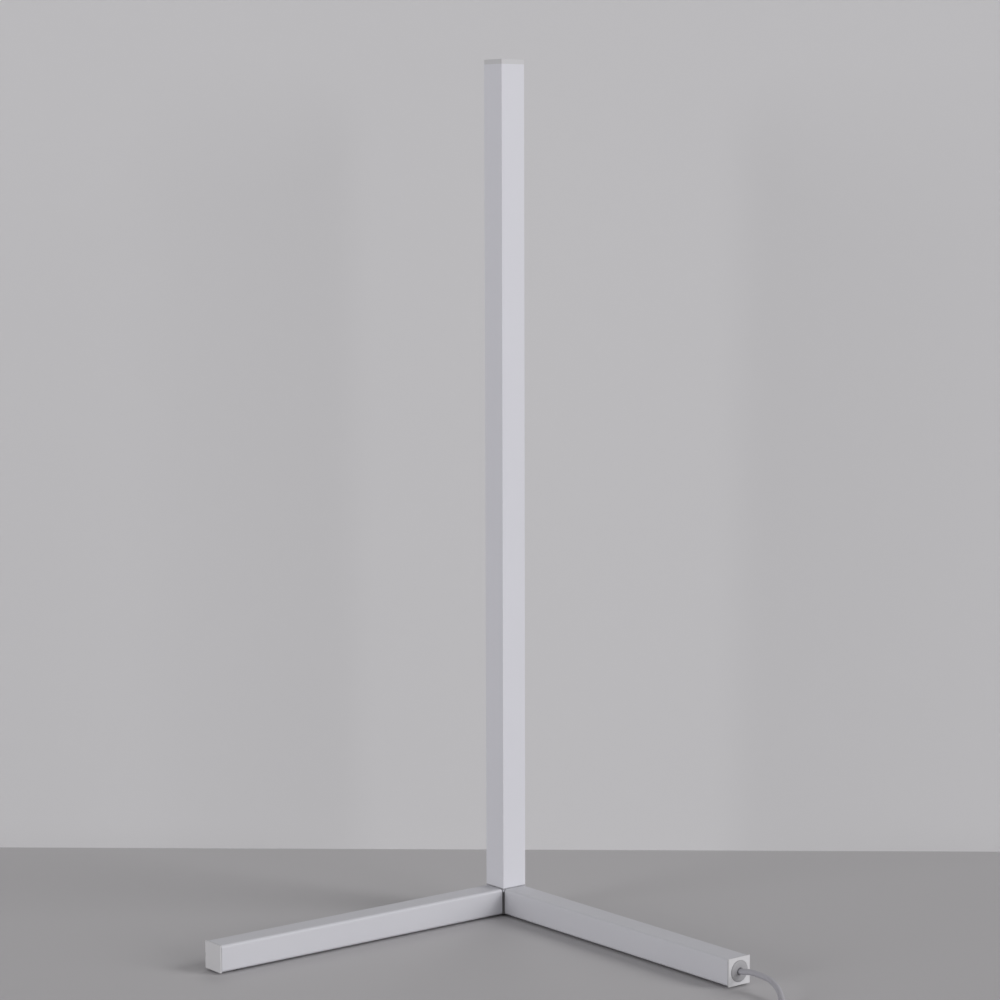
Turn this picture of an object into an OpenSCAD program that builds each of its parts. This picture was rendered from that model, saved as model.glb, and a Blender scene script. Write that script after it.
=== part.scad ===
// Corner floor lamp: a square upright bar whose front edge points into the angle
// between two floor legs.  The bar lights backwards, into the corner of a room.
// Everything is in millimetres, +Z is up, and the lamp stands on Z = 0.

/* [Upright bar] */
// Width of the square bar
bar_w = 30; // [29:0.5:36]
// Height of the lamp from the floor to the top of the cap
lamp_h = 920; // [700:5:1400]
// Thickness of the bar's two painted walls
bar_wall = 1.6; // [1.2:0.1:2]
// Thickness of the cap on top of the bar
top_cap_t = 5; // [4:0.5:6]
// How far the bar's lower end sits below the tops of the legs
bar_seat = 3; // [2:0.5:5]

/* [Legs] */
// Length of each leg, from the bar's face to the outer face of its end cap
leg_reach = 360; // [340:5:500]
// Width and height of the leg tube
leg_w = 28; // [26:0.5:28]
// Wall of the leg tube
leg_wall = 1.5; // [1.2:0.1:1.6]
// Outer radius of the tube's long edges
leg_round = 3; // [2.5:0.5:3.5]
// Width of the square end caps, which stand a hair proud of the tube
end_cap_w = 28.5; // [28:0.5:29]
// Thickness of the end caps' plates
end_cap_t = 1.5; // [1.2:0.1:2]
// Thickness of the rubber pads that hold the legs off the floor
pad_t = 2.1; // [1.5:0.1:2.5]

/* [Light] */
// Distance between the lamps on the board
chip_pitch = 16; // [12:1:25]
// Width of the board that carries them
board_w = 10; // [8:0.5:10]

/* [Mains cord] */
// Outer diameter of the round mains cord
cord_d = 6; // [5.5:0.1:6.2]
// Radius of the middle turn of the put-away cord
coil_r = 36; // [36:1:40]
// Turns of the put-away cord
coil_turns = 7; // [5:1:8]

/* [In-line switch] */
// Angle between the switch's two positions
rocker_travel = 16; // [10:1:16]

/* [Hidden] */
$fn = 48;

// Finishes, as the eye sees them
paint = [0.88, 0.88, 0.90];
cap_white = [0.93, 0.93, 0.93];
opal = [0.95, 0.95, 0.93];
cast_grey = [0.25, 0.25, 0.26];
rubber_black = [0.12, 0.12, 0.12];
zinc = [0.72, 0.72, 0.74];
relief_grey = [0.62, 0.62, 0.63];
cord_grey = [0.70, 0.70, 0.72];
chip_yellow = [0.95, 0.85, 0.45];
board_white = [0.95, 0.95, 0.95];
board_green = [0.15, 0.40, 0.25];
live_brown = [0.40, 0.22, 0.12];

// Levels and places that follow from the driving sizes
half = bar_w / 2;
leg_top = pad_t + leg_w;
leg_mid = pad_t + leg_w / 2;
bar_z0 = leg_top - bar_seat;
bar_z1 = lamp_h - top_cap_t;
bar_len = bar_z1 - bar_z0;
// The connector's sides stand this far proud of the bar, and the tubes butt on them
core_proud = 1;
core_half = half + core_proud;
tube_x0 = core_half;
cap_x = half + leg_reach;
// A shadow line stays open between each tube and its cap
cap_line = 0.3;
tube_x1 = cap_x - end_cap_t - cap_line;
// The lamp's plan is centred on the origin: the end caps' front corners and the
// connector's back corner are equally far from it along Y
plan_front = (cap_x + end_cap_w / 2) / sqrt(2);
plan_back = core_half * sqrt(2);
bar_y = (plan_front - plan_back) / 2;

// ---------------------------------------------------------------- frames

// The bar's own frame: its centre line, with the front edge at (-half, -half)
module bar_frame() {
    translate([0, bar_y, 0]) rotate([0, 0, 45]) children();
}

// A leg's own frame: +X runs out along the leg from the bar's centre line
module left_leg_frame() { bar_frame() rotate([0, 0, 180]) children(); }
module right_leg_frame() { bar_frame() rotate([0, 0, -90]) children(); }

// ---------------------------------------------------------------- helpers

// A rectangle with round corners, centred
module round_rect(w, h, r) {
    square([w, h - 2 * r], center = true);
    square([w - 2 * r, h], center = true);
    for (x = [-1, 1], y = [-1, 1])
        translate([x * (w / 2 - r), y * (h / 2 - r)]) circle(r);
}

// A 2D section, extruded along +X from x0 to x1: its own x becomes -Y, its y becomes Z
module along_x(x0, x1) {
    translate([x0, 0, 0]) rotate([90, 0, 90]) linear_extrude(x1 - x0) children();
}

// What is drawn on one side of the bar's diagonal is repeated on the other
module both_sides() {
    children();
    mirror([1, -1, 0]) children();
}

// A rod or a bore along +X
module x_rod(x0, x1, r, y = 0, z = 0) {
    translate([x0, y, z]) rotate([0, 90, 0]) cylinder(r = r, h = x1 - x0);
}

// A countersunk screw that points up, its head's flat face at z = 0, with a cross recess
module csk_screw(d, head_d, len) {
    head_h = (head_d - d) / 2;
    difference() {
        union() {
            cylinder(d1 = head_d, d2 = d, h = head_h);
            translate([0, 0, head_h - 0.01]) cylinder(d = d, h = len - 2 * head_h);
            translate([0, 0, len - head_h - 0.02]) cylinder(d1 = d, d2 = d / 2, h = head_h);
        }
        for (a = [0, 90])
            rotate([0, 0, a]) translate([0, 0, 0.4])
                cube([0.6 * head_d, 0.14 * head_d, 1.6], center = true);
    }
}

// Points on a smooth curve through hand-placed points (Catmull-Rom), n steps to a span
function between(p, i, t) =
    let (a = p[max(i - 1, 0)], b = p[i], c = p[i + 1], d = p[min(i + 2, len(p) - 1)])
    0.5 * (2 * b + (c - a) * t + (2 * a - 5 * b + 4 * c - d) * t * t
           + (3 * b - a - 3 * c + d) * t * t * t);
function smooth(p, n) = concat(
    [for (i = [0 : len(p) - 2], k = [0 : n - 1]) between(p, i, k / n)],
    [p[len(p) - 1]]
);
function unit(v) = v / norm(v);
function tangent(p, i) = unit(p[min(i + 1, len(p) - 1)] - p[max(i - 1, 0)]);
function path_len(p) = len(p) < 2 ? 0 : sum([for (i = [1 : len(p) - 1]) norm(p[i] - p[i - 1])]);
function sum(v, i = 0) = i < len(v) ? v[i] + sum(v, i + 1) : 0;

// One ring of a tube, square to the way on; up is any direction the tube never takes
function ring(c, t, r, sides, up) =
    let (across = unit(cross(up, t)), over = cross(t, across))
    [for (k = [0 : sides - 1])
        let (a = 360 * (k + 0.5) / sides) c + r * (cos(a) * across + sin(a) * over)];

// A round tube along points, closed at both ends; its end faces stand square to
// start_way and end_way
module tube(p, d, sides, start_way, end_way, up = [0, 0, 1]) {
    n = len(p);
    rings = [for (i = [0 : n - 1])
        ring(p[i], i == 0 ? start_way : i == n - 1 ? end_way : tangent(p, i), d / 2, sides, up)];
    points = [for (q = rings, v = q) v];
    sheath = [for (i = [0 : n - 2], k = [0 : sides - 1])
        let (a = i * sides + k, b = i * sides + (k + 1) % sides)
        each [[a, b, b + sides], [a, b + sides, a + sides]]];
    first = [for (k = [1 : sides - 2]) [0, k + 1, k]];
    last = [for (k = [1 : sides - 2])
        let (z = (n - 1) * sides) [z, z + k, z + k + 1]];
    polyhedron(points = points, faces = [for (f = concat(sheath, first, last)) [f[0], f[2], f[1]]]);
}

// ---------------------------------------------------------------- upright bar

// The diagonal web that carries the lamps: its middle plane is x + y = web_sum
web_t = 1.6;
web_sum = -8;
web_step = web_t / sqrt(2);
inner = half - bar_wall;
// Screw ports where the web meets the walls
port_at = [1, -inner + 2.9];
port_r = 3.2;
port_bore_r = 1.9;
// Snap rib near each wall's free edge, and the diffuser's flange that clicks behind it
rib_x = inner - 2.5;
rib_w = 1.1;
rib_h = 0.9;
opal_t = 1.8;
opal_gap = 0.1;
// Clear opening at the web's foot, where the lead reaches the front of the board
notch_h = 14;
notch_w = 8;

module bar_section() {
    difference() {
        union() {
            both_sides() {
                // a wall, with its snap rib
                translate([-half, -half]) square([bar_w, bar_wall]);
                translate([rib_x, -inner - 0.01]) square([rib_w, rib_h + 0.01]);
                translate(port_at) circle(port_r);
            }
            // the diagonal web
            translate([web_sum / 2, web_sum / 2]) rotate(-45)
                square([(inner + web_sum / 2) * 2 * sqrt(2) + 1.6, web_t], center = true);
        }
        both_sides() translate(port_at) circle(port_bore_r);
    }
}

module bar_profile() {
    color(paint) bar_frame()
        difference() {
            translate([0, 0, bar_z0]) linear_extrude(bar_len) bar_section();
            // the lead's way through the foot of the web
            translate([web_sum / 2, web_sum / 2, bar_z0 - 1]) rotate([0, 0, -45])
                translate([-notch_w / 2, -3, 0]) cube([notch_w, 6, notch_h + 1]);
        }
}

// Half of the diffuser: one flat side, the flange that runs in along the wall, and its barb
module diffuser_half() {
    flange_y = -inner + rib_h + opal_gap;
    barb_x = rib_x - 0.2 - 1.1;
    translate([half - opal_t, -inner + opal_gap]) square([opal_t, bar_w - bar_wall - opal_gap - 2]);
    translate([barb_x, flange_y]) square([half - opal_t - barb_x + 0.01, 1.1]);
    translate([barb_x, -inner + opal_gap]) square([1.1, rib_h + 0.5]);
}

module rear_diffuser() {
    color(opal) bar_frame() translate([0, 0, bar_z0])
        linear_extrude(bar_len) {
            both_sides() diffuser_half();
            // the rounded back corner joins the two sides
            difference() {
                union() {
                    translate([half - 2, half - 2]) circle(2);
                    translate([half - opal_t, half - 4]) square([opal_t, 2]);
                    translate([half - 4, half - opal_t]) square([2, opal_t]);
                    translate([half - 2 - opal_t, half - 2 - opal_t]) square(opal_t);
                }
                translate([half - 4 - opal_t, half - 4 - opal_t]) square(4);
            }
        }
}

// The board lies on the web's light side.  In its own frame X runs across the web and
// Y points out of it, into the corner of the room.
board_t = 1.2;
board_z0 = bar_z0 + 20;
board_z1 = bar_z1 - 9;
chip_w = 5;
chip_t = 1.6;
chip_count = floor((board_z1 - board_z0 - 12) / chip_pitch) + 1;

module web_face_frame() {
    mid = web_sum / 2 + web_step / 2;
    bar_frame() translate([mid, mid, 0]) rotate([0, 0, -45]) children();
}

module led_board() {
    color(board_white) web_face_frame()
        translate([-board_w / 2, 0, board_z0]) cube([board_w, board_t, board_z1 - board_z0]);
}

module led_chips() {
    color(chip_yellow) web_face_frame()
        for (i = [0 : chip_count - 1])
            translate([-chip_w / 2, board_t, board_z0 + 8 + i * chip_pitch]) {
                cube([chip_w, chip_t, chip_w]);
            }
}

cap_plug_h = 9;
cap_bevel = 0.3;

module top_cap() {
    fit = 0.2;
    foot = -inner + fit;
    color(cap_white) bar_frame() {
        translate([0, 0, bar_z1]) linear_extrude(top_cap_t - cap_bevel) round_rect(bar_w, bar_w, 0.4);
        translate([0, 0, lamp_h - cap_bevel]) linear_extrude(cap_bevel)
            round_rect(bar_w - 2 * cap_bevel, bar_w - 2 * cap_bevel, 0.4);
        // plug in the lead's chamber
        translate([0, 0, bar_z1 - cap_plug_h]) linear_extrude(cap_plug_h + 0.01)
            polygon([[foot, foot], [foot + 9, foot], [foot, foot + 9]]);
        // two ribs behind the diffuser
        translate([0, 0, bar_z1 - cap_plug_h]) linear_extrude(cap_plug_h + 0.01)
            both_sides() translate([half - opal_t - fit - 1.5, -8]) square([1.5, half + 8 - opal_t - 2.2]);
    }
}

// ---------------------------------------------------------------- corner connector

arm_len = 52;
arm_w = leg_w - 2 * leg_wall - 0.3;
arm_slot_w = 17;
arm_floor = 6.5;
core_chamfer = 6;
// The duct comes in from the right leg and turns up under the bar's lead chamber
duct_x = -5;
duct_y = -8.5;
duct_z = leg_mid + 2;
duct_r = 3;
screw_x = [half + 14, half + 40];
bar_screw_d = 4;
bar_screw_seat = pad_t + 5;
core_z0 = pad_t;

module connector_arm() {
    difference() {
        translate([0, 0, leg_mid]) along_x(core_half - 0.2, half + arm_len)
            round_rect(arm_w, arm_w, leg_round - leg_wall);
        // the arm is a channel, open at the top
        translate([core_half - 1, -arm_slot_w / 2, pad_t + leg_wall + arm_floor])
            cube([arm_len + 2, arm_slot_w, leg_w]);
        for (x = screw_x) translate([x, 0, pad_t + leg_wall]) {
            translate([0, 0, -1]) cylinder(r = 1.55, h = 20);
            translate([0, 0, -0.1]) cylinder(d1 = 5.6, d2 = 3, h = 1.3);
        }
    }
}

module connector_core() {
    difference() {
        translate([0, 0, core_z0]) linear_extrude(bar_z0 - core_z0)
            difference() {
                polygon([
                    [-core_half + core_chamfer, -core_half], [core_half, -core_half],
                    [core_half, core_half], [-core_half, core_half],
                    [-core_half, -core_half + core_chamfer]
                ]);
                // round the back corner as the bar's is
                translate([core_half - 2, core_half - 2]) square(2.01);
            }
        // seats for the two screws that hold the bar
        both_sides() translate([port_at[0], port_at[1], core_z0 - 1]) {
            cylinder(r = 4.2, h = bar_screw_seat - core_z0 + 1);
            cylinder(r = bar_screw_d / 2 + 0.2, h = leg_w + 2);
        }
    }
    translate([core_half - 2, core_half - 2, core_z0]) cylinder(r = 2, h = bar_z0 - core_z0);
}

module corner_connector() {
    tongue = -inner + 0.3;
    color(cast_grey) difference() {
        union() {
            bar_frame() connector_core();
            left_leg_frame() connector_arm();
            right_leg_frame() connector_arm();
            // tongue that centres the bar
            bar_frame() translate([0, 0, bar_z0 - 0.01]) linear_extrude(16)
                polygon([
                    [tongue, tongue], [tongue + 9.6, tongue], [tongue + 9.6, tongue + 1.8],
                    [tongue + 4.4, tongue + 4.4], [tongue + 1.8, tongue + 9.6],
                    [tongue, tongue + 9.6]
                ]);
        }
        // the lead's duct: in from the right leg, then up into the bar
        right_leg_frame() x_rod(-duct_y - 2, half + 12, duct_r, duct_x, duct_z);
        bar_frame() translate([duct_x, duct_y, duct_z - 2]) cylinder(r = 2.8, h = 60);
    }
}

module bar_screws() {
    color(zinc) bar_frame() both_sides() translate([port_at[0], port_at[1], bar_screw_seat])
        difference() {
            union() {
                translate([0, 0, -2.4]) cylinder(d = 7.6, h = 2.4);
                cylinder(d = bar_screw_d, h = bar_z0 - bar_screw_seat + 13);
                translate([0, 0, bar_z0 - bar_screw_seat + 12.99])
                    cylinder(d1 = bar_screw_d, d2 = 2, h = 1);
            }
            for (a = [0, 90]) rotate([0, 0, a]) translate([0, 0, -2.4]) cube([4.4, 0.9, 2.6], center = true);
        }
}

// ---------------------------------------------------------------- legs

module leg_tube() {
    color(paint) difference() {
        translate([0, 0, leg_mid]) along_x(tube_x0, tube_x1)
            difference() {
                round_rect(leg_w, leg_w, leg_round);
                round_rect(leg_w - 2 * leg_wall, leg_w - 2 * leg_wall, leg_round - leg_wall);
            }
        for (x = screw_x)
            translate([x, 0, pad_t - 0.01]) cylinder(d1 = 8.4, d2 = 5.4, h = leg_wall + 0.02);
    }
}

module leg_left() { left_leg_frame() leg_tube(); }
module leg_right() { right_leg_frame() leg_tube(); }

module leg_screws() {
    color(zinc) for (x = screw_x) {
        left_leg_frame() translate([x, 0, pad_t + 0.1]) csk_screw(3.3, 7.6, 11);
        right_leg_frame() translate([x, 0, pad_t + 0.1]) csk_screw(3.3, 7.6, 11);
    }
}

// A square plate and a ribbed spigot in the tube; a notch in the plate's edge takes
// the tool that prises the cap off
spigot_len = 12;
notch_r = 5;
notch_deep = 0.9;

module end_cap(notch = false) {
    spigot_w = leg_w - 2 * leg_wall - 0.6;
    translate([0, 0, leg_mid]) difference() {
        union() {
            along_x(cap_x - end_cap_t, cap_x - 0.4) round_rect(end_cap_w, end_cap_w, 0.6);
            // a lower land seats on the tube's end and leaves the shadow line
            along_x(cap_x - end_cap_t - cap_line, cap_x - end_cap_t + 0.01)
                round_rect(leg_w - 1, leg_w - 1, leg_round - 0.5);
            along_x(cap_x - 0.41, cap_x) round_rect(end_cap_w - 0.6, end_cap_w - 0.6, 0.6);
            difference() {
                along_x(cap_x - end_cap_t - spigot_len, cap_x - end_cap_t + 0.01)
                    round_rect(spigot_w, spigot_w, 1.2);
                along_x(cap_x - end_cap_t - spigot_len - 1, cap_x - end_cap_t - cap_line)
                    round_rect(spigot_w - 3, spigot_w - 3, 0.6);
            }
            // crush ribs along the spigot
            for (side = [-1, 1], y = [-6, 6])
                x_rod(cap_x - end_cap_t - spigot_len + 2, cap_x - end_cap_t, 0.5,
                      y, side * spigot_w / 2 - side * 0.22);
        }
        if (notch)
            translate([cap_x - end_cap_t - cap_line - 0.01, -(end_cap_w / 2 + notch_r - notch_deep), 0])
                rotate([0, 90, 0]) cylinder(r = notch_r, h = end_cap_t + cap_line + 0.02);
    }
}

relief_hole_r = 5.2;
relief_flange_r = 10.8;
relief_sunk = 0.5;

module end_cap_left() { color(cap_white) left_leg_frame() end_cap(notch = true); }

module end_cap_right() {
    color(cap_white) right_leg_frame() difference() {
        end_cap();
        x_rod(cap_x - 20, cap_x + 1, relief_hole_r, 0, leg_mid);
        // the bush's flange sits in a shallow recess
        x_rod(cap_x - relief_sunk, cap_x + 1, relief_flange_r + 0.3, 0, leg_mid);
    }
}

pad_r = 8;
pad_x = cap_x - 22;

// A soft disc with a bevelled lower edge, under whatever is at height pad_t
module pad() {
    color(rubber_black) rotate_extrude()
        polygon([[0, 0], [pad_r - 0.8, 0], [pad_r, 0.8], [pad_r, pad_t], [0, pad_t]]);
}

module pad_left() { left_leg_frame() translate([pad_x, 0, 0]) pad(); }
module pad_right() { right_leg_frame() translate([pad_x, 0, 0]) pad(); }
module pad_corner() { bar_frame() translate([6.5, 6.5, 0]) pad(); }

// ---------------------------------------------------------------- inside the right leg

floor_z = pad_t + leg_wall;
driver_x0 = half + 110;
driver_x1 = driver_x0 + 130;
driver_w = 20;
driver_h = 17;
shell = 1.4;
lid_t = 2;
board_lift = 1.6;
block_x0 = driver_x1 + 28;
block_len = 18;
block_w = 16;
block_h = 13;
wire_d = 2;
wire_y = 4;
wire_z = floor_z + 8;

// Tray: four walls and a floor, rests for the board, a wire hole pair in each end wall
module driver_case() {
    color(cap_white) right_leg_frame() difference() {
        union() {
            difference() {
                translate([driver_x0, -driver_w / 2, floor_z])
                    cube([driver_x1 - driver_x0, driver_w, driver_h - lid_t]);
                translate([driver_x0 + shell, -driver_w / 2 + shell, floor_z + shell])
                    cube([driver_x1 - driver_x0 - 2 * shell, driver_w - 2 * shell, driver_h]);
            }
            for (x = [driver_x0 + 12, driver_x1 - 16])
                translate([x, -6, floor_z + shell - 0.01]) cube([4, 12, board_lift + 0.01]);
        }
        for (y = [-wire_y, wire_y])
            x_rod(driver_x0 - 1, driver_x1 + 1, wire_d / 2 + 0.1, y, wire_z);
    }
}

module driver_lid() {
    lip = shell + 0.2;
    color(cap_white) right_leg_frame() translate([0, 0, floor_z + driver_h - lid_t]) {
        translate([driver_x0, -driver_w / 2, 0]) cube([driver_x1 - driver_x0, driver_w, lid_t]);
        difference() {
            translate([driver_x0 + lip, -driver_w / 2 + lip, -1.5])
                cube([driver_x1 - driver_x0 - 2 * lip, driver_w - 2 * lip, 1.51]);
            translate([driver_x0 + lip + 1, -driver_w / 2 + lip + 1, -2])
                cube([driver_x1 - driver_x0 - 2 * lip - 2, driver_w - 2 * lip - 2, 2]);
        }
    }
}

// Circuit board with its transformer, two capacitors and a choke
module driver_board() {
    top = floor_z + shell + board_lift + 1.6;
    color(board_green) right_leg_frame() difference() {
        union() {
            translate([driver_x0 + 6, -7.5, top - 1.6]) cube([driver_x1 - driver_x0 - 12, 15, 1.6]);
            translate([driver_x0 + 50, -6.5, top - 0.01]) cube([16, 13, 7.5]);
            translate([driver_x1 - 38, -5.5, top - 0.01]) cube([12, 9, 6]);
            for (x = [driver_x0 + 26, driver_x0 + 76])
                x_rod(x, x + 12, 3.4, 1, top + 3.2);
            // the blocks that take the wires at each end
            for (x = [driver_x0 + 8, driver_x1 - 16])
                translate([x, -6.8, top - 0.01]) cube([8, 13.6, wire_z - top + 2.4]);
        }
        for (y = [-wire_y, wire_y]) {
            x_rod(driver_x0 + 7, driver_x0 + 13, lead_d / 2 - 0.05, y, wire_z);
            x_rod(driver_x1 - 13, driver_x1 - 7, wire_d / 2 - 0.05, y, wire_z);
        }
    }
}

// Two-pole screw terminal that joins the mains cord to the driver
module terminal_block() {
    color(cap_white) right_leg_frame() difference() {
        union() {
            translate([block_x0, -block_w / 2, floor_z]) cube([block_len, block_w, block_h - 4]);
            for (y = [-wire_y, wire_y])
                translate([block_x0 + 2, y - 3.2, floor_z + 1]) cube([block_len - 4, 6.4, block_h - 1]);
        }
        for (y = [-wire_y, wire_y]) {
            x_rod(block_x0 - 1, block_x0 + 7, wire_d / 2 + 0.3, y, floor_z + 5);
            x_rod(block_x0 + block_len - 7, block_x0 + block_len + 1, wire_d / 2 + 0.3, y, floor_z + 5);
            for (x = [5, block_len - 5])
                translate([block_x0 + x, y, floor_z + 7]) cylinder(r = 1.65, h = block_h);
        }
    }
}

module terminal_screws() {
    color(zinc) right_leg_frame()
        for (y = [-wire_y, wire_y], x = [5, block_len - 5])
            translate([block_x0 + x, y, floor_z + 7]) difference() {
                cylinder(r = 1.7, h = 4);
                translate([-2, -0.3, 3]) cube([4, 0.6, 2]);
            }
}

// The end of the cord, from the bush's grip into the leg: its sheath, then the two cores
// bent to the terminals
module supply_lead() {
    sheath_x0 = block_x0 + block_len + 16;
    sheath_x1 = cap_x - relief_free;
    color(cord_grey) right_leg_frame() {
        x_rod(sheath_x0, sheath_x1, cord_d / 2, 0, leg_mid);
        for (side = [-1, 1])
            tube(smooth([
                    [sheath_x0 + 1, side * 1.3, leg_mid],
                    [sheath_x0 - 3, side * 1.4, leg_mid],
                    [sheath_x0 - 8, side * 3, leg_mid - 3],
                    [sheath_x0 - 13, side * wire_y, floor_z + 5],
                    [block_x0 + block_len - 5, side * wire_y, floor_z + 5]
                ], 3), wire_d, 8, [-1, 0, 0], [-1, 0, 0]);
    }
}

module driver_wires() {
    color(live_brown) right_leg_frame()
        for (side = [-1, 1])
            tube(smooth([
                    [driver_x1 - 12, side * wire_y, wire_z],
                    [driver_x1 + 4, side * wire_y, wire_z],
                    [driver_x1 + 14, side * wire_y, floor_z + 6.5],
                    [driver_x1 + 23, side * wire_y, floor_z + 5],
                    [block_x0 + 5, side * wire_y, floor_z + 5]
                ], 3), wire_d, 8, [1, 0, 0], [1, 0, 0]);
}

// The two-core lead from the driver, through the connector's duct, up the bar and
// through the notch in the web to the foot of the board
lead_d = 1.8;

module led_lead() {
    // where the wires lie on the board's face, along the web and out of it
    mid = web_sum / 2 + web_step / 2;
    function on_web(x, out, z) = [mid + (x + out) / sqrt(2), mid + (out - x) / sqrt(2), z];
    color(rubber_black) bar_frame() for (side = [-1, 1]) {
        x = duct_x + side * 0.95;
        tube(smooth([
                [side * wire_y, -driver_x0 - 12, wire_z],
                [side * wire_y, -driver_x0 + 4, wire_z],
                [(x + side * wire_y) / 2, -driver_x0 + 24, (wire_z + duct_z) / 2],
                [x, -half - 52, duct_z - 1],
                [x, -half - 32, duct_z],
                [x, -half - 12, duct_z],
                [x, duct_y - 6, duct_z],
                [x, duct_y - 1.4, duct_z + 1.6],
                [x, duct_y, duct_z + 6],
                [x, duct_y, duct_z + 9],
                on_web(2.2 + side * 0.95, -4.2, bar_z0 + 5),
                on_web(1.2 + side * 0.95, -1.8, bar_z0 + 8),
                on_web(side * 0.95, 1, bar_z0 + 12),
                on_web(side * 0.95, board_t + lead_d / 2 - 0.1, bar_z0 + 17),
                on_web(side * 0.95, board_t + lead_d / 2 - 0.1, board_z0 + 5.5)
            ], 3), lead_d, 8, [0, 1, 0], [0, 0, 1], [1, 0, 0]);
    }
}

// ---------------------------------------------------------------- mains cord

relief_out = 1.2;
relief_in = 20;
// The bush grips the cord up to this far inside the cap's face; from there the cord bends
relief_free = 2;
cord_in = 5;

// Grey bush: a low dome in the end cap's recess, a bell mouth for the cord to bend in,
// and a collar inside the leg that tapers along the cord
module strain_relief() {
    mouth_r = 4.4;
    plate_t = end_cap_t + cap_line;
    color(relief_grey) right_leg_frame() translate([cap_x, 0, leg_mid]) rotate([0, 90, 0])
        difference() {
            union() {
                rotate_extrude() polygon([
                    [0, -relief_sunk], [relief_flange_r, -relief_sunk], [relief_flange_r, 0.1],
                    [relief_flange_r - 0.4, 0.5], [relief_flange_r - 1.4, 0.8],
                    [relief_flange_r - 3.2, relief_out - 0.15], [5.4, relief_out], [0, relief_out]
                ]);
                translate([0, 0, -plate_t - 0.1]) cylinder(r = relief_hole_r - 0.1, h = plate_t);
                translate([0, 0, -relief_in]) cylinder(r1 = 4.4, r2 = 7, h = relief_in - plate_t - 0.05);
            }
            translate([0, 0, -relief_in - 1]) cylinder(r = cord_d / 2 - 0.05, h = relief_in);
            translate([0, 0, -relief_free - 0.2])
                cylinder(r1 = cord_d / 2 + 0.08, r2 = mouth_r, h = relief_free + relief_out + 0.21);
        }
}

cord_sides = 10;
// Where the bush lets go of the cord, and the way it points there
exit_x = cap_x - relief_free;
exit_at = [exit_x / sqrt(2), bar_y - exit_x / sqrt(2), leg_mid];
exit_way = [1, -1, 0] / sqrt(2);
floor_c = cord_d / 2;

// In-line switch: its near end and the height of its cord
switch_at = [316, -256, 7];
switch_len = 60;
switch_w = 25;
switch_h = 15;

// The free stretch from the lamp to the switch
lead_route = [
    exit_at,
    exit_at + 3 * exit_way,
    [270, -143.6, 16.6],
    [276, -149.1, 18.2],
    [282.5, -154.9, 18.3],
    [289, -160.6, 17.7],
    [295.5, -166.8, 16.4],
    [300.5, -174.3, 14.4],
    [304.3, -182.6, 12],
    [306.9, -191.8, 9.3],
    [308.6, -201.2, 6.9],
    [310, -211, 5.2],
    [312, -222, 4.8],
    [314, -233, 5.4],
    [315.5, -244, 6.7],
    switch_at,
    switch_at - [0, cord_in, 0]
];

// The put-away cord: turns piled in two layers, wound in and out again
tie_w = 11;
tie_t = 0.9;
coil_lift = tie_t - 0.05;
coil_gap = 0.7;
turn_step = cord_d + coil_gap;
layer_turns = (coil_turns - 0.5) / 2;
coil_out = coil_r + layer_turns * turn_step / 2;
coil_in = coil_r - layer_turns * turn_step / 2;
coil_at = [246, -356 + coil_out, floor_c + coil_lift];
coil_rings = 24;

// Clockwise angle a from the coil's front point gives its radius and its level
function coil_radius(a) =
    let (turn = a / 360)
    turn < layer_turns ? coil_out - turn * turn_step
    : turn < layer_turns + 0.5 ? coil_in - turn_step * (turn - layer_turns) * (1 - 2 * (turn - layer_turns))
    : coil_in + (turn - layer_turns - 0.5) * turn_step;
function coil_level(a) =
    let (t = min(1, max(0, (a / 360 - layer_turns) / 0.5)))
    turn_step * (3 * t * t - 2 * t * t * t);
function coil_point(a) =
    coil_at + [-coil_radius(a) * sin(a), -coil_radius(a) * cos(a), coil_level(a)];
coil_first = coil_point(0);
coil_last = coil_point(360 * coil_turns);
coil_points = concat(
    [coil_first + [cord_d, 0, 0]],
    [for (i = [0 : coil_turns * coil_rings]) coil_point(360 * i / coil_rings)],
    [coil_last - [cord_d, 0, 0]]
);
coil_gaps = [for (i = [0 : len(coil_points) - 1], j = [i + 8 : 1 : len(coil_points) - 1])
    norm(coil_points[i] - coil_points[j]) - cord_d];
echo(coil_least_gap_mm = min(coil_gaps), coil_length_mm = path_len(coil_points));

// From the switch round to the coil's first turn
link_bend = 34;
link_start = switch_at - [0, switch_len - cord_in, 0];
link_end = coil_first + [cord_d, 0, 0];
bend_at = [link_start[0] - link_bend, link_end[1] + link_bend];
function bend_point(a, z) =
    [bend_at[0] + link_bend * cos(a), bend_at[1] - link_bend * sin(a), z];
link_route = [
    link_start,
    link_start - [0, cord_in, 0],
    [link_start[0], bend_at[1], 6.5],
    bend_point(22, 5.4),
    bend_point(45, 4.4),
    bend_point(68, 4),
    [bend_at[0], link_end[1], floor_c + coil_lift],
    [(bend_at[0] + link_end[0]) / 2, link_end[1], floor_c + coil_lift],
    link_end
];

// From the coil's last turn down to the plug
plug_at = [160, coil_last[1], 7];
tail_route = [
    coil_last - [cord_d, 0, 0],
    [230, plug_at[1], coil_last[2]],
    [218, plug_at[1], coil_last[2] - 0.4],
    [206, plug_at[1], 9.2],
    [192, plug_at[1], 8],
    [176, plug_at[1], 7.1],
    [168, plug_at[1], 7],
    plug_at - [cord_in, 0, 0]
];
echo(cord_length_mm = path_len(smooth(lead_route, 4)) + switch_len - 2 * cord_in
    + path_len(smooth(link_route, 4)) + path_len(coil_points) + path_len(smooth(tail_route, 4)));

module cord_lead() {
    color(cord_grey) tube(smooth(lead_route, 2), cord_d, cord_sides, exit_way, [0, -1, 0]);
}

module cord_link() {
    color(cord_grey) tube(smooth(link_route, 2), cord_d, cord_sides, [0, -1, 0], [-1, 0, 0]);
}

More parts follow.
